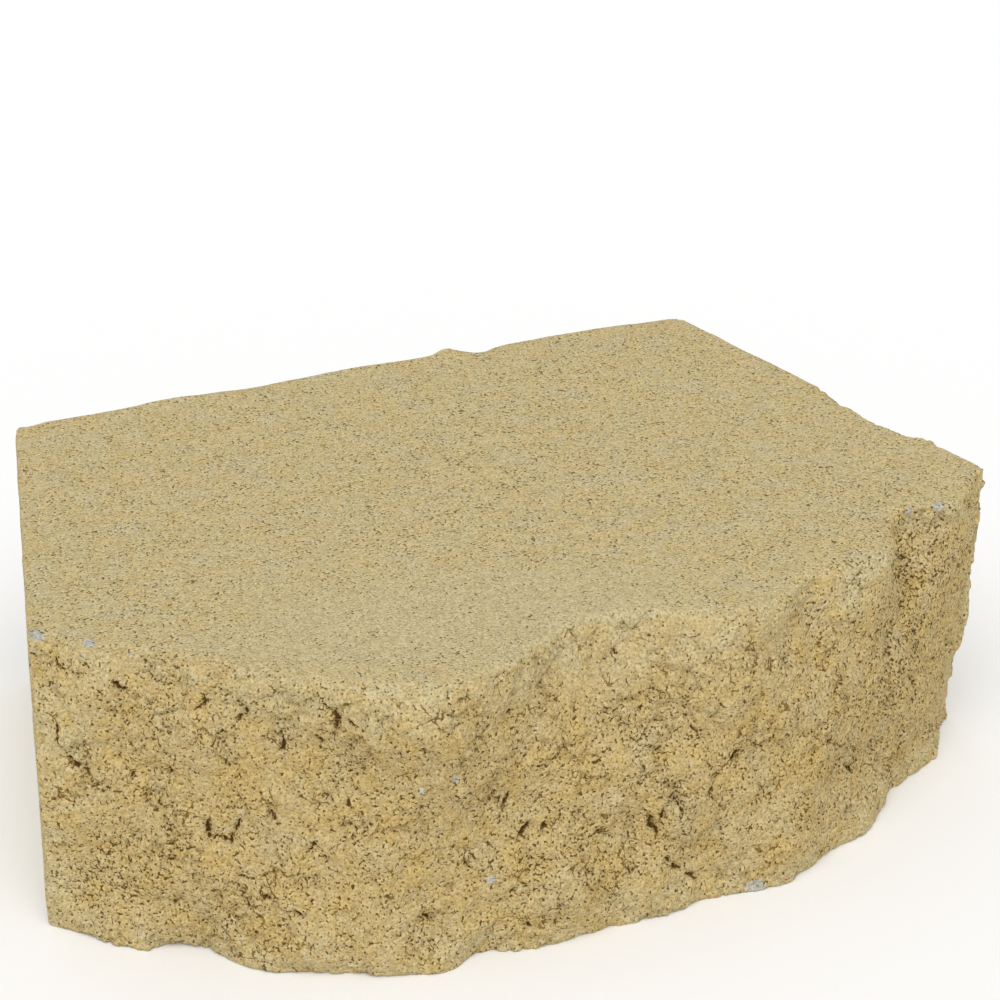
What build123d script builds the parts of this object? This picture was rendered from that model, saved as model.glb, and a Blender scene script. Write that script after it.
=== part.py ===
"""A split-face concrete garden wall block, nominally 12 x 8 x 4 inches.

The block is pressed in a mould as one piece, so its bed, top, sides and back are flat. It leaves the
mould joined to its twin, and a guillotine splits the two apart: the front is that break, a rough face
in three facets. Millimetres, +Z up, +Y towards the back, +X to the right seen from the front.
The origin is on the bed, on the centre line, half way from the back to the middle facet.
"""

import os
from math import atan2, cos, degrees, exp, log, sin, sqrt, tau

from build123d import *

# The moulded block
front_width = 300.0
back_width = 229.0
depth = 202.0
height = 92.0
bevel_depth = 58.0
centre_facet_width = 124.0
back_corner_radius = 4.5
arris_radius = 1.0

# The break: a net of flat flakes that wanders about the split line in waves. Each corner of a flake
# lies off its place in the net by up to the unevenness, a share of the flake, and the roughness
corner_softness = 7.0
flake_size = 5.5
flake_unevenness = 0.3
flake_roughness = 0.7
wave_length = 58.0
wave_height = 1.6
net_overrun = 14.0

# The clumps that the concrete parts around: how far apart they lie, how far off its place in the net
# each may lie, as a share of that, how far each is domed, and how far one may stand out from the next
clump_spacing = 17.0
clump_unevenness = 0.4
clump_dome = 3.4
clump_step = 1.5

# Large bulges and hollows of the break: place across the face, place as a share of the height,
# half-width, half-height, and how far each stands out, or lies back if negative
bulges_and_hollows = (
    ("hollow under the middle of the top arris", 2.0, 1.00, 24.0, 24.0, -17.0),
    ("bulge that carries the top forward, left of the middle", -60.0, 0.95, 23.0, 26.0, 9.0),
    ("hollow at the top, right of the middle", 68.0, 1.00, 15.0, 20.0, -9.0),
    ("tongue of the top in the right facet", 96.0, 1.00, 9.0, 14.0, 7.0),
    ("hollow at the top of the right facet", 109.0, 0.95, 9.0, 22.0, -12.0),
    ("bulge at the top of the right corner", 131.0, 1.00, 11.0, 18.0, 6.0),
    ("broken top of the left corner", -147.0, 1.00, 15.0, 16.0, -9.0),
    ("hollow at the top of the left facet", -122.0, 1.00, 10.0, 18.0, -4.0),
    ("bulge low in the left facet", -96.0, 0.10, 25.0, 26.0, 6.5),
    ("bulge low beside the left corner", -131.0, 0.10, 12.0, 18.0, 1.0),
    ("worn foot of the left corner", -146.0, 0.00, 9.0, 10.0, -5.0),
    ("notch in the foot of the left facet", -116.0, 0.00, 7.0, 9.0, -8.0),
    ("bulge at the foot of the left facet", -99.0, 0.00, 13.0, 12.0, 4.0),
    ("bulge low at the left of the middle facet", -66.0, 0.10, 14.0, 24.0, 3.0),
    ("bulge at the foot, left of the notch", -53.0, 0.00, 11.0, 14.0, 5.0),
    ("notch in the foot of the middle facet", -41.0, 0.00, 6.0, 12.0, -3.0),
    ("bulge at the foot, right of the notch", -27.0, 0.00, 11.0, 14.0, 3.0),
    ("bulge low in the middle facet", -14.0, 0.10, 14.0, 24.0, 5.0),
    ("hollow at the foot, right of the middle", 32.0, 0.00, 10.0, 12.0, -2.5),
    ("bulge at the foot, right of the middle", 47.0, 0.05, 16.0, 20.0, 2.5),
    ("bulge at the foot of the right facet", 91.0, 0.00, 11.0, 14.0, 4.0),
    ("notch in the foot of the right facet", 110.0, 0.00, 5.0, 12.0, -4.0),
    ("bulge at the foot beside the right corner", 131.0, 0.00, 9.0, 10.0, 4.0),
    ("bulge half way up the right facet", 104.0, 0.50, 20.0, 20.0, 3.0),
    ("hollow in the middle facet", -22.0, 0.48, 16.0, 14.0, -3.0),
    ("right corner, leaning back to its foot", 150.0, 0.08, 13.0, 17.0, -11.5),
    ("right corner, standing out near its top", 150.0, 0.74, 10.0, 10.0, 1.5),
)

# Damage: one long chip out of the right side's top arris
chip_length = 46.0
chip_reach = 4.0
chip_from_back = 83.0

half_front = front_width / 2
half_back = back_width / 2
half_centre = centre_facet_width / 2
back_y = depth / 2
centre_y = -depth / 2
front_corner_y = centre_y + bevel_depth
side_slope = (half_front - half_back) / (back_y - front_corner_y)
bevel_slope = bevel_depth / (half_front - half_centre)


def side_x(y):
    """Half the block's width at a distance y: the sides run straight on past the front corners."""
    return half_back + side_slope * (back_y - y)


def split_line(x):
    """The plan line that the break follows: a middle facet and two bevels, with worn corners."""
    past_corner = (abs(x) - half_centre) / corner_softness
    return centre_y + bevel_slope * corner_softness * log(1 + exp(past_corner))


def scatter(column, row, turn):
    """A fixed number from -1 to 1 for each place in a net that follows no pattern."""
    mixed = sin(12.9898 * column + 78.233 * row + 37.719 * turn) * 43758.5453
    return 2 * (mixed % 1) - 1


def clump_relief(x, z):
    """How far the break stands out in clumps: of the domes about a place, the one that is furthest out."""
    near_column, near_row = round(x / clump_spacing), round(z / clump_spacing)
    domes = []
    for column in range(near_column - 1, near_column + 2):
        for row in range(near_row - 1, near_row + 2):
            away_x = x / clump_spacing - column - clump_unevenness * scatter(column, row, 5)
            away_z = z / clump_spacing - row - clump_unevenness * scatter(column, row, 6)
            out = clump_step * scatter(column, row, 7)
            domes.append(out - clump_dome * (away_x**2 + away_z**2))
    return max(domes)


def relief(x, z):
    """How far the break stands out from the split line, in its wave, its clumps and its named forms."""
    out = wave_height * sin(tau * (x + z / 2) / wave_length) * cos(tau * (z - x / 4) / wave_length)
    out += clump_relief(x, z)
    for _, across, share, half_wide, half_high, stands_out in bulges_and_hollows:
        out += stands_out * exp(-(((x - across) / half_wide) ** 2) - ((z - share * height) / half_high) ** 2)
    return out


# The net reaches past the block on every side, so that the break cuts right through it
net_half_width = side_x(front_corner_y) + net_overrun
columns = round(2 * net_half_width / flake_size)
rows = round((height + 2 * net_overrun) / flake_size)


def net_point(column, row):
    """One corner of the flakes, moved off its place in the net so that the flakes are uneven."""
    across = (column + flake_unevenness * scatter(column, row, 1)) / columns
    up = (row + flake_unevenness * scatter(column, row, 2)) / rows
    x = (2 * across - 1) * net_half_width
    z = up * (height + 2 * net_overrun) - net_overrun
    return Vector(x, split_line(x) - relief(x, z) - flake_roughness * scatter(column, row, 3), z)


net = [[net_point(column, row) for column in range(columns + 1)] for row in range(rows + 1)]

flakes = []
for row in range(rows):
    for column in range(columns):
        low_left, low_right = net[row][column], net[row][column + 1]
        top_left, top_right = net[row + 1][column], net[row + 1][column + 1]
        if scatter(column, row, 4) > 0:
            flakes += [(low_left, low_right, top_right), (low_left, top_right, top_left)]
        else:
            flakes += [(low_left, low_right, top_left), (low_right, top_right, top_left)]

# Turned so that the flakes face into the block, which is the half that is kept
break_face = Shell([Face(Wire.make_polygon(reversed(corners))) for corners in flakes])

# The uncut blank runs on in front of the break, as the twin block does before the guillotine
blank_front_y = centre_y - 2 * net_overrun

with BuildPart() as wall_block:
    with BuildSketch():
        with BuildLine():
            Polyline(
                (-half_back, back_y),
                (half_back, back_y),
                (side_x(blank_front_y), blank_front_y),
                (-side_x(blank_front_y), blank_front_y),
                close=True,
            )
        make_face()
    extrude(amount=height)

    back_corners = wall_block.edges().filter_by(Axis.Z).group_by(Axis.Y)[-1]
    fillet(back_corners, back_corner_radius)
    moulded_arrises = wall_block.faces().filter_by(Plane.XY).edges()
    fillet(moulded_arrises, arris_radius)

    split(bisect_by=break_face, keep=Keep.TOP)

    # A flake knocked off an arris leaves a shallow scoop, cut here by a ball that dips into the edge
    chip_y = back_y - chip_from_back
    scoop_depth = chip_reach / sqrt(2)
    ball_radius = (chip_length**2 / 4 + scoop_depth**2) / (2 * scoop_depth)
    ball_offset = (ball_radius - scoop_depth) / sqrt(2)
    with Locations((side_x(chip_y) + ball_offset, chip_y, height + ball_offset)):
        Sphere(ball_radius, mode=Mode.SUBTRACT)

wall_block.part.label = "wall_block"

os.makedirs("parts", exist_ok=True)
export_step(wall_block.part, "parts/wall_block.step")

side_angle = degrees(atan2(half_front - half_back, back_y - front_corner_y))
print("wall block", front_width, "x", depth, "x", height, "mm, sides taper", round(side_angle, 1), "degrees")
print("flakes", len(flakes), "volume", round(wall_block.part.volume / 1e6, 2), "litres")
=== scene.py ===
# %% [markdown]
# # A split-face wall block
#
# The real object is one concrete casting with two finishes. A steel mould leaves the bed, top, sides and
# back flat, with a fine sandy skin. The front is a break: the block leaves the mould joined to its twin,
# and a guillotine splits the two apart. The CAD model holds the true size and the large forms of that
# break. This script adds what the eye reads as concrete: clumps, crevices, pits, sand and colour.
#
# The imported model comes in first, at its real place and in metres, and nothing here moves it. Its box is
# kept for the steps that need the block's sides.

from math import cos, pi, radians, sin

import bpy
import numpy as np
from mathutils import Matrix, Vector, noise
from mathutils.bvhtree import BVHTree


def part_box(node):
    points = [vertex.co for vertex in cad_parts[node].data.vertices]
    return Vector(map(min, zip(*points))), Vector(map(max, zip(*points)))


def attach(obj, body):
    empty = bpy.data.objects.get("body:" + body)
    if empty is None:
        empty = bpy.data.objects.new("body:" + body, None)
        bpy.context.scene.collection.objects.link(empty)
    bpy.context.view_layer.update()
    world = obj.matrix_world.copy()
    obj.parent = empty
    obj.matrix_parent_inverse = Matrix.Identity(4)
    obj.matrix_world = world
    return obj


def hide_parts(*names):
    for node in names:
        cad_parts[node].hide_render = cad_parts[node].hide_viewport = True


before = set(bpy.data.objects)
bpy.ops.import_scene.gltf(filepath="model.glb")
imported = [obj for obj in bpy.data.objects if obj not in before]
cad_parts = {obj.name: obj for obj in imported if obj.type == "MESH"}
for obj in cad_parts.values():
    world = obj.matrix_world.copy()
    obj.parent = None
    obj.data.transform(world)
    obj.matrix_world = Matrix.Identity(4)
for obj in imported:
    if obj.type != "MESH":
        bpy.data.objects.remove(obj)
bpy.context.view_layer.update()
cad_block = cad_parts["wall_block"]
block_low, block_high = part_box("wall_block")
print("block, from the CAD model, mm:", [round(1000 * side, 1) for side in block_high - block_low])

# %% [markdown]
# ## The camera
#
# A camera can be dragged into place by eye, or worked out from what the picture shows. This one is worked
# out: the corners and the tapering sides of the block fix its turn, its height and how long the lens is.
# It is placed by an angle round the block, an angle above the floor and a distance, because those three
# are easy to read and to change. The lens is given as how many picture widths away the picture would
# have to be held to look natural, and the sensor's width turns that into a focal length.

# %% Place the camera
camera_turn = radians(-22.9)
camera_rise = radians(26.4)
camera_distance = 1.069
camera_target = Vector((0.0411, 0.0788, 0.046))
picture_widths_away = 3.234

level_share = cos(camera_rise)
towards_camera = Vector((sin(camera_turn) * level_share, -cos(camera_turn) * level_share, sin(camera_rise)))
camera_right = Vector((cos(camera_turn), sin(camera_turn), 0))
camera_up = towards_camera.cross(camera_right)

camera_data = bpy.data.cameras.new("Camera")
camera_data.lens = picture_widths_away * camera_data.sensor_width
camera = bpy.data.objects.new("Camera", camera_data)
camera.matrix_world = Matrix((camera_right, camera_up, towards_camera)).transposed().to_4x4()
camera.location = camera_target + camera_distance * towards_camera
bpy.context.scene.collection.objects.link(camera)
bpy.context.scene.camera = camera
print("camera at", tuple(round(part, 3) for part in camera.location), "lens", round(camera_data.lens, 1))

# %% [markdown]
# ## A fine, even mesh
#
# The CAD solid has a few large faces, and relief needs many small ones. Subdividing would give long thin
# triangles where the flat faces were cut into slivers, and a grid pressed onto the front would leave a
# seam round its edge. A voxel remesh has neither fault: it wraps the whole solid in one skin of nearly
# square faces, which can be pushed about anywhere, over the arrises too.

# %% Remesh a copy of the block
voxel_size = 0.0007


def mesh_with_modifiers(piece):
    """A new mesh, the piece's own with its modifiers applied."""
    return bpy.data.meshes.new_from_object(piece.evaluated_get(bpy.context.evaluated_depsgraph_get()))


block = bpy.data.objects.new("split_face_block", cad_block.data.copy())
bpy.context.scene.collection.objects.link(block)
remesh = block.modifiers.new("Even skin", "REMESH")
remesh.mode = "VOXEL"
remesh.voxel_size = voxel_size
fine_mesh = mesh_with_modifiers(block)
block.modifiers.clear()
block.data = fine_mesh
print("fine mesh:", len(fine_mesh.vertices), "points")

# %% [markdown]
# The relief is worked out for all the points at once, as arrays of millimetres, because a loop over
# hundreds of thousands of points would be slow. Smoothing is the one tool that nearly every later step
# uses: each point moves to the average of the points it shares an edge with, a few times over.

# %% Read the mesh into arrays
MM = 1000.0


def read_points(mesh):
    """The mesh's points, one row each, in millimetres."""
    flat = np.empty(len(mesh.vertices) * 3, np.float32)
    mesh.vertices.foreach_get("co", flat)
    return flat.reshape(-1, 3).astype(float) * MM


def write_points(mesh, rows):
    """Moves the mesh's points to these rows of millimetres."""
    mesh.vertices.foreach_set("co", (rows / MM).astype(np.float32).ravel())
    mesh.update()


def outward(mesh, rows):
    """The direction straight out of the surface at each point, when the points lie at these rows."""
    write_points(mesh, rows)
    flat = np.empty(len(mesh.vertices) * 3, np.float32)
    mesh.vertex_normals.foreach_get("vector", flat)
    return flat.reshape(-1, 3).astype(float)


points = read_points(fine_mesh)
links = np.empty(len(fine_mesh.edges) * 2, np.int32)
fine_mesh.edges.foreach_get("vertices", links)
links = links.reshape(-1, 2)
link_count = np.bincount(links.ravel(), minlength=len(points))


def smoothed(values, rounds, weight=1.0):
    """The values after each has moved towards its neighbours' average, by the weight, in each round."""
    values = values.reshape(len(values), -1).copy()
    for _ in range(rounds):
        average = np.empty_like(values)
        for column in range(values.shape[1]):
            there = np.bincount(links[:, 0], values[links[:, 1], column], len(values))
            back = np.bincount(links[:, 1], values[links[:, 0], column], len(values))
            average[:, column] = (there + back) / link_count
        values += weight * (average - values)
    return values


def ramp(low, high, values):
    """0 below low, 1 above high, and a smooth rise between them."""
    share = np.clip((values - low) / (high - low), 0, 1)
    return share * share * (3 - 2 * share)


print("links between points:", len(links))

# %% [markdown]
# ## Skin and break
#
# The two finishes meet at the rim of the front, so each point needs to know on which side of that rim it
# lies and how far from it. The moulded faces are the CAD model's large flat ones, and a point's depth
# below the nearest of them grows from the rim over the break. The distance to the break's own flakes
# grows the other way, over the skin. One minus the other counts millimetres past the rim, from negative
# on the skin to positive on the break.

# %% Measure how far each point lies past the rim
least_flat_area = 200e-6
skin_depth_of_flakes = 0.5

flats = {}
for face in cad_block.data.polygons:
    if face.area > least_flat_area:
        direction = tuple(round(part, 2) for part in face.normal)
        flats[direction] = (np.array(face.normal), np.array(face.center) * MM)


def depth_below_skin(rows):
    """Distance from each row to the nearest moulded face, or to the plane that it lies in."""
    return np.min([np.abs((rows - centre) @ normal) for normal, centre in flats.values()], axis=0)


flake_centres = np.array([face.center for face in cad_block.data.polygons]) * MM
is_flake = depth_below_skin(flake_centres) > skin_depth_of_flakes
flakes = [list(face.vertices) for face, broken in zip(cad_block.data.polygons, is_flake) if broken]
break_tree = BVHTree.FromPolygons([vertex.co for vertex in cad_block.data.vertices], flakes)
distance_to_break = np.array([break_tree.find_nearest(place)[3] for place in (points / MM).tolist()]) * MM
past_rim = depth_below_skin(points) - distance_to_break
print("moulded faces:", len(flats), "flakes of the break:", len(flakes))

# %% [markdown]
# The rim isn't a clean line. At the left of the middle the moulded skin rolls over the arris and runs a
# little way down the front. In other places it has come away with the break, a few millimetres back
# over the top. The list gives that reach along the top rim, and two sizes of noise make the line ragged:
# wide bays and small teeth.

# %% Set where the skin ends
reach_over_top_rim = (
    # across, and how far the skin runs on past the rim, or how far it falls short if negative
    (-150, -3), (-140, -1), (-128, -4), (-113, -1), (-96, -2), (-85, 1.5), (-65, 2.5), (-50, 2), (-41, -1),
    (-30, 0), (-12, 0), (0, 1.5), (7, 3), (19, 1), (28, 1.5), (39, -2), (47, -2), (56, 0), (67, 2), (76, -1),
    (84, 5), (94, 2), (101, -1), (110, -2), (119, 0.5), (131, 0), (150, -2),
)
top_rim_starts, top_rim_whole = 60, 80
bay_depth, bay_size = 2.2, 14
tooth_depth, tooth_size = 0.8, 3
rim_softness = 3.0
furthest_over_skin, freely_broken = -12, -6
inner_break = 22


def noise_field(rows, size, octaves, seed):
    """Soft random values from about -1 to 1, with lumps of the given size in millimetres."""
    return np.array([noise.fractal(place, 1.0, 2.0, octaves) for place in (rows / size + seed).tolist()])


top_rim_share = ramp(top_rim_starts, top_rim_whole, points[:, 2])
reach = top_rim_share * np.interp(points[:, 0], *np.array(reach_over_top_rim).T)
bays = noise_field(points, bay_size, 3, 11.3)
teeth = noise_field(points, tooth_size, 2, 4.7)
reach += bay_depth * bays + tooth_depth * teeth
past_skin = past_rim - reach
broken = ramp(-rim_softness, rim_softness, past_skin) * ramp(furthest_over_skin, freely_broken, past_rim)
far_in = ramp(0, inner_break, past_skin)
print("share of the surface that is broken:", round(float(broken.mean()), 3))

# %% [markdown]
# ## Worn arrises
#
# A pressed block never has knife edges: sand rubs off every arris within minutes of leaving the mould.
# Smoothing the whole mesh and mixing some of that back in rounds the arrises and leaves the flats flat.
# The mix follows noise, so that some stretches stay crisp. The break gets a little more of it, because
# the CAD model's flakes are flat and the clumps of the next step need a softer ground to stand on. Along
# the top of the front the smoothing goes on much longer. It is mixed in most strongly at the left of the
# middle, where the skin rolls right over the rim, and hardly at all at the two corners.

# %% Round the arrises and soften the flakes
arris_rounds, ground_rounds, rolled_rounds, outward_rounds = 6, 12, 80, 8
least_wear, wear_size = 0.25, 22
rolled_middle, rolled_half_length, rolled_half_height = -62.0, 34.0, 9.0
rolled_elsewhere, rolled_whole_to, rolled_ends_at = 0.35, 100, 118

wear = least_wear + (1 - least_wear) * ramp(-0.5, 0.5, noise_field(points, wear_size, 2, 31.7))
points += wear[:, None] * (smoothed(points, arris_rounds) - points)
points += ramp(0, 3, past_rim)[:, None] * (smoothed(points, ground_rounds) - points)

along = (points[:, 0] - rolled_middle) / rolled_half_length
below = (points[:, 2] - block_high.z * MM) / rolled_half_height
rolled = rolled_elsewhere * ramp(rolled_ends_at, rolled_whole_to, np.abs(points[:, 0]))
rolled += (1 - rolled_elsewhere) * np.exp(-(along**2))
rolled *= np.exp(-(below**2)) * ramp(-9, -2, past_rim)
points += rolled[:, None] * (smoothed(points, rolled_rounds) - points)
out = outward(fine_mesh, smoothed(points, outward_rounds))
print("points moved by wear, at most, mm:", round(float(np.abs(points - read_points(fine_mesh)).max()), 2))

# %% [markdown]
# ## Clumps on the break
#
# Broken concrete parts around its stones and around balls of paste, so the break is a heap of rounded
# clumps at every size. The CAD model has those of a thumb's width, and the smaller ones are added here.
# Plain noise would give dunes instead. Voronoi cells give clumps: the space is shared out among random
# centres, each cell is domed, and each stands out or back by an amount of its own, which makes the little
# cliffs between neighbours. The cells are bent by noise first, because straight cell walls look like a
# honeycomb. Where two cells meet, the clumps have often parted, so the wall between them is cut in as a
# crack wherever a slower noise allows it. The material paints a little shade into these cracks, and less
# so beside the rim.

# %% Raise the clumps
clump_sizes = (
    # size, height of the dome, height of the step between neighbours, depth of the cracks
    (8.0, 0.9, 1.0, 1.0),
    (3.6, 0.6, 0.6, 0.5),
)
bend_of_walls = 0.38
level_dome, cliff_softness, cell_spread = 0.35, 0.2, 9.7
crack_edge, crack_bottom, crack_patch_size = 0.17, 0.03, 12
clump_crack_shade, clump_crack_shade_at_rim = 0.35, 0.3
grit_size, grit_height = 2.1, 0.32


def bend_field(rows, size, octaves, seed, seed_step):
    """Soft random values for each row, one for each of the three directions."""
    return np.stack([noise_field(rows, size, octaves, seed + seed_step * axis) for axis in range(3)], axis=1)


on_break = np.flatnonzero(broken > 0.01)
ground = points[on_break]
crack_allowed = ramp(-0.05, 0.35, noise_field(ground, crack_patch_size, 2, 155.3))
clump_crack_shade_share = clump_crack_shade_at_rim + (1 - clump_crack_shade_at_rim) * far_in[on_break]
relief, crevice = np.zeros(len(points)), np.zeros(len(points))
for number, (size, dome, step, parting) in enumerate(clump_sizes):
    bent = ground / size + bend_of_walls * bend_field(ground, size, 3, 7.1 * number, 50) + 3.7 * number
    heights, walls = [], []
    for place in bent.tolist():
        (nearest, second, _, _), (centre, neighbour, _, _) = noise.voronoi(place)
        own = 0.5 + 0.5 * min(1.0, (second - nearest) / cliff_softness)
        level = own * noise.cell(centre * cell_spread) + (1 - own) * noise.cell(neighbour * cell_spread)
        heights.append(dome * (level_dome - nearest * nearest) + step * level / 2)
        walls.append(second - nearest)
    crack = ramp(crack_edge, crack_bottom, np.array(walls)) * crack_allowed
    relief[on_break] += np.array(heights) - parting * crack
    # The crack also goes into the crevice mask, where the material paints shade into it.
    crevice[on_break] = np.maximum(crevice[on_break], clump_crack_shade * crack * clump_crack_shade_share)
relief[on_break] += grit_height * noise_field(ground, grit_size, 3, 310.5)
relief *= broken
print("clumps stand out and back by, mm:", round(float(relief.max()), 2), round(float(relief.min()), 2))

# %% [markdown]
# ## Crevices
#
# The dark lines of the front are gaps where a clump has parted from its neighbour. Noise alone would put
# them anywhere, so the ones that catch the eye are listed: each is a line of points across the
# front and up from the bed, with a width. A ray shot at the break from in front finds where each point
# lies on it. The line is then bent by two sizes of noise, cut in as a groove that thins out at its ends,
# and broken up along its length, because a gap closes wherever the two clumps still touch.

# %% Cut the crevices
crevices = (
    # width, then points: across, up
    (1.2, (-145, 86), (-141, 85), (-138, 84)),
    (1.0, (-149, 78), (-145, 80), (-143, 83)),
    (1.6, (-143, 89), (-142, 86)),
    (1.8, (-129, 83), (-126, 80)),
    (0.9, (-122, 87), (-121, 91), (-118, 91), (-114, 90)),
    (1.1, (-122, 87), (-119, 85), (-114, 84)),
    (1.0, (-112, 91), (-112, 86)),
    (1.2, (-120, 80), (-122, 77)),
    (1.2, (-112, 78), (-109, 81), (-109, 84)),
    (1.3, (-102, 82), (-99, 80), (-101, 77)),
    (1.3, (-144, 71), (-144, 64)),
    (1.9, (-144, 63), (-142, 60), (-138, 55), (-138, 52)),
    (1.3, (-119, 66), (-118, 57)),
    (1.3, (-105, 74), (-108, 69), (-109, 65)),
    (1.8, (-91, 74), (-91, 67)),
    (1.6, (-84, 86), (-79, 83), (-80, 76)),
    (1.5, (-83, 75), (-82, 72)),
    (1.3, (-77, 83), (-75, 81)),
    (1.2, (-125, 56), (-127, 54)),
    (2.0, (-95, 51), (-94, 47), (-93, 45)),
    (1.8, (-110, 44), (-109, 39), (-105, 39), (-103, 42), (-102, 45)),
    (1.3, (-123, 34), (-120, 31), (-117, 29)),
    (1.0, (-136, 31), (-131, 29)),
    (1.5, (-88, 35), (-84, 40), (-82, 36)),
    (1.3, (-104, 30), (-100, 28)),
    (1.6, (-104, 27), (-103, 24)),
    (1.8, (-99, 24), (-97, 22)),
    (1.6, (-92, 21), (-90, 19)),
    (1.2, (-65, 89), (-61, 86)),
    (1.4, (-60, 75), (-58, 73)),
    (1.2, (-64, 73), (-64, 70)),
    (1.4, (-75, 61), (-73, 57)),
    (1.4, (-76, 55), (-74, 49)),
    (1.3, (-46, 55), (-42, 53)),
    (1.4, (-15, 63), (-14, 60), (-19, 57), (-23, 57), (-26, 56)),
    (1.4, (-31, 51), (-32, 48), (-34, 41)),
    (1.8, (-30, 36), (-28, 35), (-25, 39)),
    (1.8, (-21, 36), (-19, 38)),
    (1.1, (-27, 31), (-26, 27)),
    (1.2, (-45, 37), (-45, 32), (-43, 29)),
    (1.5, (-51, 26), (-49, 24)),
    (2.0, (-61, 18), (-58, 19), (-55, 16)),
    (1.4, (-35, 17), (-30, 23), (-25, 20)),
    (1.6, (-28, 11), (-27, 5)),
    (1.6, (-18, 15), (-19, 8)),
    (1.2, (-33, 75), (-28, 77)),
    (1.5, (-8, 72), (-10, 69), (-12, 66)),
    (1.3, (6, 82), (6, 78)),
    (1.5, (11, 70), (12, 68)),
    (1.4, (23, 63), (25, 59), (29, 56)),
    (2.2, (35, 44), (38, 46), (42, 48)),
    (1.6, (35, 44), (32, 42), (30, 38), (32, 33), (35, 31)),
    (1.8, (16, 43), (19, 39), (21, 33)),
    (1.9, (10, 36), (12, 30), (14, 26), (18, 24)),
    (1.4, (15, 36), (14, 31)),
    (1.5, (4, 21), (6, 16)),
    (1.7, (16, 20), (20, 15), (28, 8)),
    (1.3, (43, 65), (44, 62)),
    (1.3, (46, 51), (50, 53)),
    (1.6, (70, 42), (76, 37), (82, 31)),
    (1.7, (83, 26), (87, 20)),
    (1.2, (33, 28), (34, 23)),
    (1.3, (74, 12), (83, 11)),
    (1.3, (-7, 31), (-4, 32), (1, 27)),
    (1.4, (-3, 19), (-5, 16)),
    (1.5, (68, 73), (70, 70)),
    (1.4, (54, 73), (56, 70)),
    (1.5, (113, 90), (112, 81)),
    (2.0, (110, 79), (115, 75)),
    (1.4, (112, 68), (111, 64), (106, 64)),
    (2.0, (112, 57), (114, 54)),
    (2.0, (106, 49), (109, 45)),
    (1.4, (118, 33), (113, 32)),
    (1.4, (60, 57), (58, 53)),
    (1.5, (141, 62), (136, 66), (132, 71)),
    (1.4, (86, 89), (88, 87)),
)
crevice_narrowing, width_at_ends = 0.9, 0.6
crevice_depth_per_width = 1.0
slow_wobble_size, quick_wobble_size, quick_wobble_height = 4.0, 1.3, 0.5
touching_size, least_open = 3.2, 0.35


def on_the_break(across, up):
    """The point of the break that lies straight behind a place in front of it, in millimetres."""
    start = Vector((across / MM, 2 * block_low.y, up / MM))
    hit = break_tree.ray_cast(start, Vector((0, 1, 0)))[0]
    return np.array(hit) * MM


def distance_to_line(rows, line):
    """Distance from each row to a line of points, and how far along it the nearest place is, from 0 to 1."""
    lengths = np.linalg.norm(np.diff(line, axis=0), axis=1)
    best, along = np.full(len(rows), np.inf), np.zeros(len(rows))
    for start, end, length, before in zip(line, line[1:], lengths, np.cumsum(lengths) - lengths):
        share = np.clip((rows - start) @ (end - start) / length**2, 0, 1)
        gap = np.linalg.norm(rows - start - share[:, None] * (end - start), axis=1)
        nearer = gap < best
        best[nearer], along[nearer] = gap[nearer], (before + share[nearer] * length) / lengths.sum()
    return best, along


slow_wobble = bend_field(ground, slow_wobble_size, 2, 90.2, 13)
quick_wobble = bend_field(ground, quick_wobble_size, 2, 190.4, 13)
ground_bent = ground + slow_wobble + quick_wobble_height * quick_wobble
still_open = ramp(-0.35, 0.05, noise_field(ground, touching_size, 2, 170.6))
for width, *line in crevices:
    line = np.array([on_the_break(across, up) for across, up in line])
    gap, along = distance_to_line(ground_bent, line)
    fullness = width_at_ends + (1 - width_at_ends) * np.sin(np.pi * np.clip(along, 0.08, 0.92))
    half_width = crevice_narrowing * width * fullness
    groove = ramp(0, 1, 1 - gap / half_width) * (least_open + (1 - least_open) * still_open)
    relief[on_break] -= crevice_depth_per_width * width * groove * broken[on_break]
    # The groove is kept in the crevice mask too, and the material paints shade into it: brown and umber.
    crevice[on_break] = np.maximum(crevice[on_break], groove)
share_in_gaps = float((crevice[on_break] > 0.5).mean())
print("crevices cut:", len(crevices), "share of the break in a gap:", round(share_in_gaps, 3))

# %% [markdown]
# ## The moulded skin
#
# The pressed faces are flat only to the hand. The press leaves them a fraction of a millimetre uneven,
# sand drags where the block slid out of the mould, and near the broken rim flakes of the skin are gone.
# The back's top arris has a burr of spilled mix with a hollow beside it. Here and there a grey stone shows
# in the skin or in the break, and each stands a little proud of the sand around it. The last list is for
# the material: it says where the concrete is more open and pitted than elsewhere, and where it is closer,
# because more paste came to the surface there.

# %% Make the moulded faces uneven and set the stones
swell_height, swell_size = 0.20, 38
ripple_height, ripple_size = 0.12, 6
drag_height, drag_size, drag_stretch = 0.14, 3.0, 0.12
spall_depth, spall_unevenness, spall_size = 1.1, 0.6, 7
arris_mark_reach, stone_height, stone_stretch = 3.5, 0.4, 0.7

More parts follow.
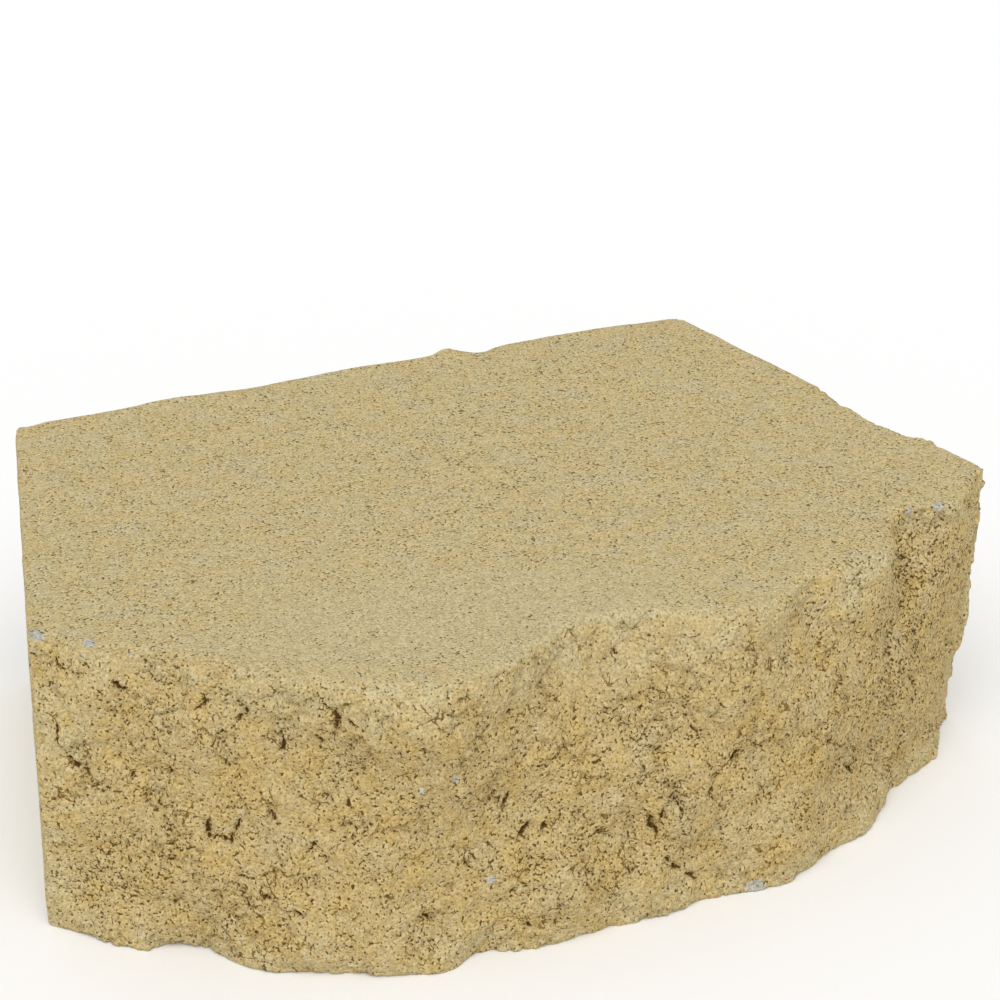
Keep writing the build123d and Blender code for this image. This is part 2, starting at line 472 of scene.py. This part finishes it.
marks_on_back_arris = (
    # across, half-length, height
    (31.0, 4.0, 1.7), (43.0, 4.5, -1.5), (-2.0, 13.0, 0.7), (-64.0, 12.0, 0.7), (-35.0, 7.0, -0.5),
    (104.0, 7.0, -0.8),
)
stones = (
    # across, back, up, size
    (-145, -34, 92, 2.2), (-133, -44, 92, 1.8), (-125, -55, 92, 1.6), (124, -62, 92, 2.4),
    (115, -60, 91, 1.6), (-26, -101, 63, 2.2), (-49, -103, 62, 1.3), (-58, -101, 60, 1.2),
    (46, -102, 1, 3.0), (92, -82, 52, 1.4), (-58, -102, 44, 1.4), (-38, -102, 26, 1.6),
)
pitted_places = (
    # across, back, up, reach, and how many more or fewer pits than elsewhere
    (116, -60, 68, 26, 1.7), (100, -78, 40, 18, 1.1), (-136, -50, 20, 20, 1.4), (-110, -70, 12, 18, 0.6),
    (15, -101, 42, 24, 0.6), (-22, -98, 36, 14, 0.4), (0, -89, 76, 16, -0.6), (26, -97, 74, 18, -0.7),
    (-24, -96, 88, 16, -0.6), (-75, -60, 92, 22, -0.9), (-45, -66, 92, 24, -1.2), (-10, -68, 92, 24, -1.1),
    (22, -72, 92, 18, -0.6), (20, 0, 92, 60, 0.3),
)

skin = 1 - broken
swell = noise_field(points, swell_size, 2, 210.8)
ripple = noise_field(points, ripple_size, 3, 230.1)
relief += skin * (swell_height * swell + ripple_height * ripple)
upright = ramp(0.5, 0.8, 1 - np.abs(out[:, 2]))
drag = points * np.array([1.0, 1.0, drag_stretch])
relief += skin * upright * drag_height * noise_field(drag, drag_size, 2, 250.9)
spalled = broken * ramp(0.5, -2.5, past_rim)
relief -= spalled * (spall_depth + spall_unevenness * noise_field(points, spall_size, 2, 270.4))

from_back_arris = np.hypot(points[:, 1] - block_high.y * MM, points[:, 2] - block_high.z * MM)
for across, half_length, height in marks_on_back_arris:
    along = (points[:, 0] - across) / half_length
    relief += height * np.exp(-(along**2) - (from_back_arris / arris_mark_reach) ** 2)

stone = np.zeros(len(points))
for across, back, up, size in stones:
    away = np.linalg.norm((points - (across, back, up)) * (1, stone_stretch, 1), axis=1) / size
    stone = np.maximum(stone, ramp(1.4, 0.6, away))
relief += stone_height * stone

pitted = np.zeros(len(points))
for across, back, up, size, amount in pitted_places:
    pitted += amount * np.exp(-((points - (across, back, up)) ** 2).sum(axis=1) / size**2)
print("stones showing:", len(stones), "marks on the back arris:", len(marks_on_back_arris))

# %% [markdown]
# ## Move the points and thin the mesh
#
# Every point moves straight out of the surface by its relief. The fine mesh is heavier than it needs to
# be on the flats, so Decimate then removes triangles where they show least and keeps them on the break.
# Before that, what the material will need to know is written on the points, under names that its
# Attribute nodes can read: how broken the surface is, how far from the rim, whether it lies in a gap or on
# a stone, how pitted it is, and how far below the surface around it.

# %% Apply the relief and thin the mesh
most_triangles = 190_000
surroundings_rounds = 40

points += relief[:, None] * out
points[:, 2] = np.clip(points[:, 2], 0, None)
# How far each point lies below its surroundings; the material paints a little more shade where it lies deep.
hollow = ((smoothed(points, surroundings_rounds) - points) * out).sum(axis=1)
write_points(fine_mesh, points)

names = ("broken", "far_in", "crevice", "stone", "pitted", "hollow")
for name, values in zip(names, (broken, far_in, crevice, stone, pitted, hollow)):
    kept = fine_mesh.attributes.new(name, "FLOAT", "POINT")
    kept.data.foreach_set("value", values.astype(np.float32))

fine_mesh.calc_loop_triangles()
thin = block.modifiers.new("Thin the flats", "DECIMATE")
thin.ratio = most_triangles / len(fine_mesh.loop_triangles)
thin.use_collapse_triangulate = True
block_mesh = mesh_with_modifiers(block)
block.modifiers.clear()
block.data = block_mesh
block_mesh.shade_smooth()
print("triangles:", len(fine_mesh.loop_triangles), "before,", len(block_mesh.polygons), "after")

# %% [markdown]
# ## Tools for the material
#
# A material is a graph of nodes, and adding them one call at a time hides what they do. A few short
# helpers keep it readable: one adds a node and fills its inputs, linking those that are given a socket,
# and the others do sums, steps, mixes of colour and noise, which is most of what concrete needs.

# %% Helpers that add nodes


def fill(tree, socket, value):
    """Links a socket into an input, or sets the input to a plain value."""
    if isinstance(value, bpy.types.NodeSocket):
        tree.links.new(value, socket)
    else:
        socket.default_value = value


def add_node(tree, kind, settings=None, **inputs):
    """Adds a node. Settings are its own options. An underscore in an input's name stands for a space."""
    new = tree.nodes.new(kind)
    for name, value in (settings or {}).items():
        setattr(new, name, value)
    for name, value in inputs.items():
        fill(tree, new.inputs[name.replace("_", " ")], value)
    return new


def sums(tree, operation, first, second=0.0):
    """The result of a Math node."""
    new = tree.nodes.new("ShaderNodeMath")
    new.operation = operation
    fill(tree, new.inputs[0], first)
    fill(tree, new.inputs[1], second)
    return new.outputs[0]


def between(tree, value, low, high, to_low=0.0, to_high=1.0):
    """The value, which runs from low to high, carried over to the range from to_low to to_high."""
    ends = {"From_Min": low, "From_Max": high, "To_Min": to_low, "To_Max": to_high}
    smooth = {"interpolation_type": "SMOOTHSTEP"}
    return add_node(tree, "ShaderNodeMapRange", smooth, Value=value, **ends).outputs[0]


def blend(tree, share, first, second, way="MIX"):
    """Two colours mixed by a share from 0 to 1."""
    new = add_node(tree, "ShaderNodeMix", {"data_type": "RGBA", "blend_type": way})
    fill(tree, new.inputs["Factor"], share)
    for socket, value in ((new.inputs[6], first), (new.inputs[7], second)):
        fill(tree, socket, value if isinstance(value, bpy.types.NodeSocket) else (*value, 1.0))
    return new.outputs[2]


def shifted(tree, place, scale, shift=(0.0, 0.0, 0.0)):
    """A place times a scale, one number or three, plus a shift, which may be a socket."""
    new = tree.nodes.new("ShaderNodeVectorMath")
    new.operation = "MULTIPLY_ADD"
    scale = scale if isinstance(scale, tuple) else (scale, scale, scale)
    for socket, value in zip(new.inputs, (place, scale, shift)):
        fill(tree, socket, value)
    return new.outputs[0]


def noise_node(tree, place, detail, roughness=0.5):
    """The outputs of a Noise Texture node, with lumps as large as one unit of the place."""
    knobs = {"Scale": 1.0, "Detail": detail, "Roughness": roughness}
    return add_node(tree, "ShaderNodeTexNoise", Vector=place, **knobs).outputs


print("helpers ready")

# %% [markdown]
# ## Node groups
#
# Sand, cracks and patches are needed on the skin and on the break, each time in another size and
# strength. A node group is made once and placed as often as wanted, and its inputs are the knobs. Its
# interface has to be declared first, so the next helper does that, and gives every group a place to read,
# in millimetres, and a size: the place divided by the size makes one lump of the texture that large.

# %% Helpers for node groups


def new_group(name, inputs, outputs):
    """Starts a group. Gives its tree, its inputs, its outputs, and the place divided by the size."""
    group = bpy.data.node_groups.new(name, "ShaderNodeTree")
    group.interface.new_socket("Place", in_out="INPUT", socket_type="NodeSocketVector")
    for label, value in inputs.items():
        group.interface.new_socket(label, in_out="INPUT", socket_type="NodeSocketFloat").default_value = value
    for label in outputs:
        group.interface.new_socket(label, in_out="OUTPUT", socket_type="NodeSocketFloat")
    given, result = group.nodes.new("NodeGroupInput"), group.nodes.new("NodeGroupOutput")
    divide = group.nodes.new("ShaderNodeVectorMath")
    divide.operation = "SCALE"
    fill(group, divide.inputs["Vector"], given.outputs["Place"])
    fill(group, divide.inputs["Scale"], sums(group, "DIVIDE", 1.0, given.outputs["Size"]))
    return group, given.outputs, result.inputs, divide.outputs[0]


def use_group(tree, group, place, **inputs):
    """Places a group in a tree and fills its inputs."""
    new = tree.nodes.new("ShaderNodeGroup")
    new.node_tree = group
    for name, value in dict(Place=place, **inputs).items():
        fill(tree, new.inputs[name.replace("_", " ")], value)
    return new.outputs


print("group helpers ready")

# %% [markdown]
# ## Sand
#
# The concrete is mostly sand, so at arm's length it looks granular, and no two grains have one shade. A
# Voronoi texture makes the grains: each cell is one, two random numbers give the grain its shade and its
# tint, and the distance from its centre gives it a dome for the bump. That distance is greatest where
# three or four grains meet, which is just where the paste leaves a hole, so a cut through it at a high
# level gives the brown specks that pepper the real face. They dip in the bump, and their brown is painted
# shade, standing in for the shade inside those holes. Two noises are added first: a slow one gathers
# the specks into swarms, and a quick one, the crumbs, makes each ragged.

# %% Group: sand grains
swarm_scale = 0.14
crumb_scale, crumb_strength = 1.4, 1.1
speck_softness = 0.32

knobs = {"Size": 0.8, "Speck level": 0.75, "Gather": 0.5}
effects = ("Shade", "Tint", "Height", "Speck", "Crumb")
sand, given, result, grain_place = new_group("Sand grains", knobs, effects)
cells = add_node(sand, "ShaderNodeTexVoronoi", Vector=grain_place, Scale=1.0)
random_numbers = add_node(sand, "ShaderNodeSeparateColor", Color=cells.outputs["Color"])
fill(sand, result["Shade"], random_numbers.outputs[0])
fill(sand, result["Tint"], random_numbers.outputs[1])
fill(sand, result["Height"], between(sand, cells.outputs["Distance"], 0.8, 0.1))
swarms = noise_node(sand, shifted(sand, given["Place"], swarm_scale), 2.0)[0]
gathered = sums(sand, "MULTIPLY", sums(sand, "SUBTRACT", swarms, 0.5), given["Gather"])
crumbs = noise_node(sand, shifted(sand, grain_place, crumb_scale), 1.0)[0]
crumbled = sums(sand, "MULTIPLY", sums(sand, "SUBTRACT", 0.5, crumbs), crumb_strength)
height = sums(sand, "ADD", sums(sand, "ADD", cells.outputs["Distance"], gathered), crumbled)
above = sums(sand, "SUBTRACT", height, given["Speck level"])
# The specks are painted shade in the holes between the grains; the bump also dips there.
fill(sand, result["Speck"], between(sand, above, 0.0, speck_softness))
fill(sand, result["Crumb"], crumbs)
print("group", sand.name)

# %% [markdown]
# ## Hairline cracks
#
# Cracks finer than the mesh have to come from the material, and here only as colour: they have no bump,
# so their dark line is painted shade, standing in for the shade inside a real crack. The distance to the
# walls of Voronoi cells makes a net of even lines, which would look like dried mud. So the place is bent by
# noise, the width of the line comes and goes with the same noise, and a slower one leaves most of the net
# out.

# %% Group: hairline cracks
bend_scale, bend_strength = 2.2, 0.55
room_scale, room_softness = 0.7, 0.06
thinnest, thickest = 0.2, 1.6

knobs = {"Size": 6.0, "Width": 0.4, "Level": 0.5}
cracks, given, result, crack_place = new_group("Hairline cracks", knobs, ("Crack",))
bend = noise_node(cracks, shifted(cracks, crack_place, bend_scale), 2.0)
bent = shifted(cracks, bend["Color"], bend_strength, crack_place)
walls = add_node(cracks, "ShaderNodeTexVoronoi", {"feature": "DISTANCE_TO_EDGE"}, Vector=bent, Scale=1.0)
gap = sums(cracks, "MULTIPLY", walls.outputs["Distance"], given["Size"])
room = noise_node(cracks, shifted(cracks, crack_place, room_scale), 1.0)[0]
open_share = between(cracks, sums(cracks, "SUBTRACT", room, given["Level"]), 0.0, room_softness)
width_now = between(cracks, bend[0], 0.3, 0.7, thinnest, thickest)
line_width = sums(cracks, "MULTIPLY", given["Width"], width_now)
inside = between(cracks, sums(cracks, "DIVIDE", gap, line_width), 1.0, 0.4)
fill(cracks, result["Crack"], sums(cracks, "MULTIPLY", inside, open_share))
print("group", cracks.name)

# %% [markdown]
# ## Patches
#
# The mix is never even: cement comes to the surface as a pale bloom, and the pigment gathers in warmer
# patches. Both are soft clouds with a ragged edge, so one group of fractal noise with a level serves both.

# %% Group: patches
knobs = {"Size": 12.0, "Level": 0.5, "Softness": 0.1}
patches, given, result, cloud_place = new_group("Patches", knobs, ("Patch",))
cloud = noise_node(patches, cloud_place, 3.0, 0.6)[0]
over = sums(patches, "DIVIDE", sums(patches, "SUBTRACT", cloud, given["Level"]), given["Softness"])
fill(patches, result["Patch"], between(patches, over, -1.0, 1.0))
print("group", patches.name)

# %% [markdown]
# ## The concrete
#
# One material covers the whole casting, because the real one is one mix: only the finish changes. The
# numbers stored on the points say where the skin ends, where the gaps and the stones are, and which parts
# lie deep. Noise is added to those that make an edge, so that no edge follows the mesh.

# %% Read the numbers on the points
concrete = bpy.data.materials.new("Split-face concrete")
concrete.use_nodes = True
tree = concrete.node_tree
tree.nodes.clear()

coordinates = add_node(tree, "ShaderNodeTexCoord")
place = shifted(tree, coordinates.outputs["Object"], MM)


def point_value(name):
    """One of the numbers stored on the points."""
    return add_node(tree, "ShaderNodeAttribute", {"attribute_name": name}).outputs["Fac"]


edge_scale, edge_roughness = 1.1, 0.7
edge_noise = noise_node(tree, shifted(tree, place, edge_scale), 2.0, edge_roughness)[0]
ragged = sums(tree, "SUBTRACT", edge_noise, 0.5)


def ragged_mask(number, low, high):
    """0 where the number is low, 1 where it is high, with a ragged edge between them."""
    return between(tree, sums(tree, "ADD", number, ragged), low, high)


# The gap mask and the deep mask carry painted shade: gaps turn brown and umber, and deep places get more dark
# specks.
gap_here = point_value("crevice")
is_broken = ragged_mask(point_value("broken"), 0.3, 0.7)
gap_shade = ragged_mask(gap_here, 0.48, 0.85)
on_stone = ragged_mask(point_value("stone"), 0.45, 0.6)
hollow_shade = between(tree, point_value("hollow"), -0.1, 0.7)
print("masks:", sum(node.type == "ATTRIBUTE" for node in tree.nodes), "attributes")

# %% [markdown]
# Next come the groups. The sand is the same in the skin and in the break, because it is one mix, and only
# the level of the cut changes: the lower it is, the more specks of painted shade there are. It falls in deep
# places, where dirt and shade gather, away from the rim, in the pitted places and most of all in the gaps,
# so the painted shade is thickest in hollows and gaps. The net of cracks is stretched from front to back, so
# that its walls cut straight into the face and show as lines.
# Where paste closed the pits the concrete is pale too, so those places join the pale patches. The warm
# patches read their noise somewhere else, so that they don't fall on the pale ones.

# %% Place the groups
skin_speck_level, break_speck_level = 0.725, 0.74
grain_size, gathering = 0.94, 0.32
crack_stretch = (1.0, 0.25, 1.0)
elsewhere = (90.0, 90.0, 90.0)


def by_finish(on_skin, on_broken):
    """A number that has one value on the skin and another on the break."""
    return between(tree, is_broken, 0.0, 1.0, on_skin, on_broken)


far_from_rim = point_value("far_in")
pits_here = point_value("pitted")
level = by_finish(skin_speck_level, break_speck_level)
for number, strength in ((hollow_shade, 0.02), (far_from_rim, 0.04), (pits_here, 0.07), (gap_here, 0.22)):
    level = sums(tree, "SUBTRACT", level, sums(tree, "MULTIPLY", number, strength))
grains = use_group(tree, sand, place, Size=grain_size, Speck_level=level, Gather=gathering)

crack_place = shifted(tree, place, crack_stretch)
crack = use_group(tree, cracks, crack_place, Size=5.5, Width=0.22, Level=0.58)["Crack"]
crack = sums(tree, "MULTIPLY", crack, is_broken)

pale = use_group(tree, patches, place, Size=13.0, Level=0.56, Softness=0.10)["Patch"]
pale = sums(tree, "MAXIMUM", pale, between(tree, pits_here, 0.0, -1.0, 0.0, 0.9))
warm_place = shifted(tree, place, 1.0, elsewhere)
warm = use_group(tree, patches, warm_place, Size=9.0, Level=0.54, Softness=0.10)["Patch"]
print("groups placed:", sum(node.type == "GROUP" for node in tree.nodes))

# %% [markdown]
# The mix's own colour goes on in the order in which the real face gets it: the tint of each grain, the warm
# and pale patches of the mix, the stones and a shade for each grain. Then comes painted shade: brown at the
# edges of every gap, crack and speck and a dark umber in their middles stand in for the shade inside those
# hollows. A darker grain holds more pigment, so its green falls faster than its red, and its blue faster
# still. A power above one on those two channels does that.

# %% Mix the colour
skin_cool, skin_warm = (0.562, 0.487, 0.287), (0.628, 0.486, 0.229)
break_cool, break_warm = (0.558, 0.446, 0.230), (0.575, 0.424, 0.178)
bloom, ochre, stone_grey = (0.565, 0.496, 0.308), (0.603, 0.418, 0.133), (0.520, 0.500, 0.430)
shade_brown, shade_umber = (0.232, 0.134, 0.022), (0.062, 0.030, 0.005)
darkest_grain, palest_grain = 0.86, 1.07
darkest_crumb, palest_crumb = 0.76, 1.08
green_power, blue_power = 1.15, 1.55
hairline_shade_strength = 0.75

skin_sand = blend(tree, grains["Tint"], skin_cool, skin_warm)
break_sand = blend(tree, grains["Tint"], break_cool, break_warm)
break_share = sums(tree, "MULTIPLY", is_broken, between(tree, far_from_rim, 0.0, 1.0, 0.1, 1.0))
colour = blend(tree, break_share, skin_sand, break_sand)
colour = blend(tree, sums(tree, "MULTIPLY", warm, by_finish(0.15, 0.45)), colour, ochre)
colour = blend(tree, sums(tree, "MULTIPLY", pale, by_finish(0.55, 0.30)), colour, bloom)
colour = blend(tree, on_stone, colour, stone_grey)

grain_shade = between(tree, grains["Shade"], 0.0, 1.0, darkest_grain, palest_grain)
# The crumbs that make a speck ragged also darken the sand round it: random tone, and painted shade beside the
# specks.
crumb_shade = between(tree, grains["Crumb"], 0.25, 0.65, darkest_crumb, palest_crumb)
shade = sums(tree, "MULTIPLY", grain_shade, crumb_shade)
shade_green = sums(tree, "POWER", shade, green_power)
shade_blue = sums(tree, "POWER", shade, blue_power)
shades = add_node(tree, "ShaderNodeCombineColor", Red=shade, Green=shade_green, Blue=shade_blue)
colour = blend(tree, 1.0, colour, shades.outputs[0], "MULTIPLY")

# Painted shade: specks, hairline cracks and gaps are mixed towards brown, and the darkest towards umber.
speck_shade = sums(tree, "MULTIPLY", grains["Speck"], by_finish(0.80, 0.90))
hairline_crack_shade = sums(tree, "MULTIPLY", crack, hairline_shade_strength)
painted_shade = sums(tree, "MAXIMUM", speck_shade, sums(tree, "MAXIMUM", hairline_crack_shade, gap_shade))
colour = blend(tree, between(tree, painted_shade, 0.0, 0.6, 0.0, 0.75), colour, shade_brown)
colour = blend(tree, between(tree, painted_shade, 0.55, 1.0, 0.0, 0.85), colour, shade_umber)
print("colours mixed by", sum(node.type == "MIX" for node in tree.nodes), "nodes")

# %% [markdown]
# The bump is in millimetres, like everything else here, and a Bump node turns it into a tilt. Concrete is
# rough all over, with hardly a shine, and the darker grains are a little smoother than the pale ones.

# %% Bump and surface
grain_height, speck_depth = 0.16, 0.30
shine, smoothest, roughest = 0.1, 0.86, 0.97

height = sums(tree, "MULTIPLY", grains["Height"], grain_height)
height = sums(tree, "SUBTRACT", height, sums(tree, "MULTIPLY", grains["Speck"], speck_depth))
bump = add_node(tree, "ShaderNodeBump", Strength=1.0, Distance=1 / MM, Height=height).outputs[0]
roughness = between(tree, grains["Shade"], 0.0, 1.0, smoothest, roughest)
finish = {"Base_Color": colour, "Normal": bump, "Specular_IOR_Level": shine, "Roughness": roughness}
surface = add_node(tree, "ShaderNodeBsdfPrincipled", **finish)
add_node(tree, "ShaderNodeOutputMaterial", Surface=surface.outputs[0])
block_mesh.materials.clear()
block_mesh.materials.append(concrete)
print("nodes in the concrete:", len(tree.nodes))

# %% [markdown]
# ## Floor, sky and sun
#
# The picture was taken under an even grey sky, with the block cut out on white. A white floor and a plain
# bright world come closest: together they light the block from all sides. One very wide soft sun overhead,
# a little in front and to the left, gives the relief its gentle shade. A sun lights the whole floor alike,
# so the floor is as white at the back as in front. The levels of sky and sun add up to about one, the
# level at which a colour renders as it is written. What looks at the sky directly sees plain white.

# %% Set the stage
floor_half, floor_white = 4.0, 0.98
sky_level, sun_level = 0.60, 0.42
sun_from = Vector((-0.28, -0.62, 1.0)).normalized()
sun_width = radians(50)

floor_mesh = bpy.data.meshes.new("Floor")
signs = ((-1, -1), (1, -1), (1, 1), (-1, 1))
corners = [(floor_half * across, floor_half * back, 0) for across, back in signs]
floor_mesh.from_pydata(corners, [], [(0, 1, 2, 3)])
floor = bpy.data.objects.new("Floor", floor_mesh)
bpy.context.scene.collection.objects.link(floor)
white = bpy.data.materials.new("White floor")
white.use_nodes = True
white_surface = white.node_tree.nodes["Principled BSDF"]
white_surface.inputs["Base Color"].default_value = (floor_white, floor_white, floor_white, 1.0)
white_surface.inputs["Roughness"].default_value = 1.0
white_surface.inputs["Specular IOR Level"].default_value = 0.0
floor_mesh.materials.append(white)

world = bpy.data.worlds.new("Grey sky")
bpy.context.scene.world = world
world.use_nodes = True
sky_tree = world.node_tree
sky = sky_tree.nodes["Background"]
sky.inputs["Color"].default_value = (1.0, 1.0, 1.0, 1.0)
rays = add_node(sky_tree, "ShaderNodeLightPath").outputs
seen = sums(sky_tree, "ADD", rays["Is Camera Ray"], rays["Is Glossy Ray"])
seen = sums(sky_tree, "ADD", seen, rays["Is Transmission Ray"])
fill(sky_tree, sky.inputs["Strength"], between(sky_tree, seen, 0.0, 1.0, sky_level, 1.0))

sun_data = bpy.data.lights.new("Wide sun", "SUN")
sun_data.energy = pi * sun_level / sun_from.z
sun_data.angle = sun_width
sun = bpy.data.objects.new("Wide sun", sun_data)
sun.rotation_euler = sun_from.to_track_quat("Z", "Y").to_euler()
bpy.context.scene.collection.objects.link(sun)
print("level on a flat floor:", round(sky_level + sun_level, 2), "sun strength", round(sun_data.energy, 2))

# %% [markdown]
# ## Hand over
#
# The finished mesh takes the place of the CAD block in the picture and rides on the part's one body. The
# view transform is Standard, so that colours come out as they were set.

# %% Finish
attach(block, "root")
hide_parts("wall_block")
bpy.context.scene.view_settings.view_transform = "Standard"
